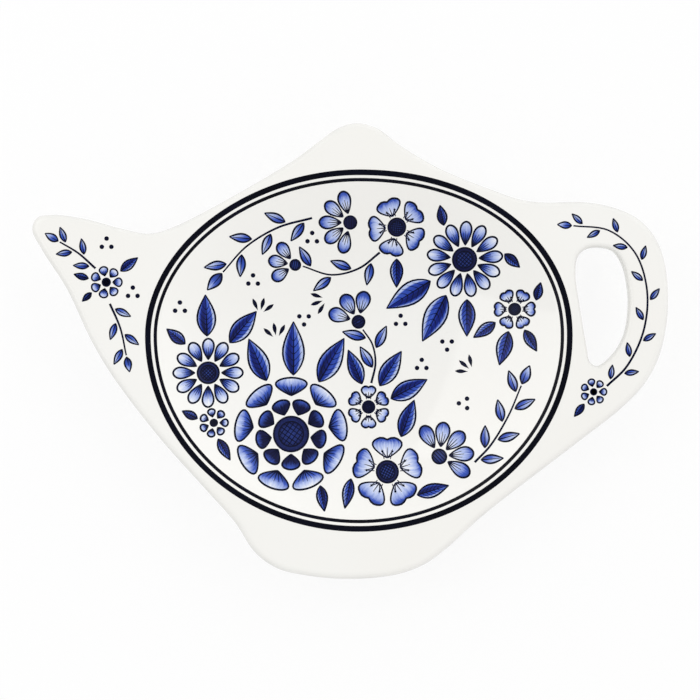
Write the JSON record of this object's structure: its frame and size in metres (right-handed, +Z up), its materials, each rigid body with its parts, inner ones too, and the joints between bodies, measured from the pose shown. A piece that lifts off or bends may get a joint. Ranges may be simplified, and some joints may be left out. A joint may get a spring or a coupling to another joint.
{
  "type": "tea bag rest",
  "caption": "Shallow oval ceramic dish with a teapot outline, a finger hole through its handle, a foot ring and blue printed bands and flowers, for resting a used tea bag.",
  "frame": {"origin": "the plane that the foot ring stands on, at the middle of the dish's length and width", "axes": "+X from the spout towards the handle, +Y from the base towards the lid's peak, +Z up out of the well"},
  "size_m": [0.125, 0.0896, 0.0136],
  "materials": {
    "glaze": "glossy warm white glaze",
    "band_ink": "glossy blue-black band under the glaze",
    "petal_blue": "glossy pale to mid blue print",
    "leaf_blue": "glossy cobalt blue print",
    "line_ink": "glossy blue-black linework"
  },
  "bodies": {
    "root": {"dish": "glaze", "wide_band": "band_ink", "fine_band": "band_ink", "large_spray_petals": "petal_blue", "large_spray_leaves": "leaf_blue", "large_spray_linework": "line_ink", "small_spray_petals": "petal_blue", "small_spray_leaves": "leaf_blue", "small_spray_linework": "line_ink", "spout_sprig_petals": "petal_blue", "spout_sprig_leaves": "leaf_blue", "spout_sprig_linework": "line_ink", "handle_sprig_petals": "petal_blue", "handle_sprig_leaves": "leaf_blue", "handle_sprig_linework": "line_ink"}
  },
  "joints": []
}
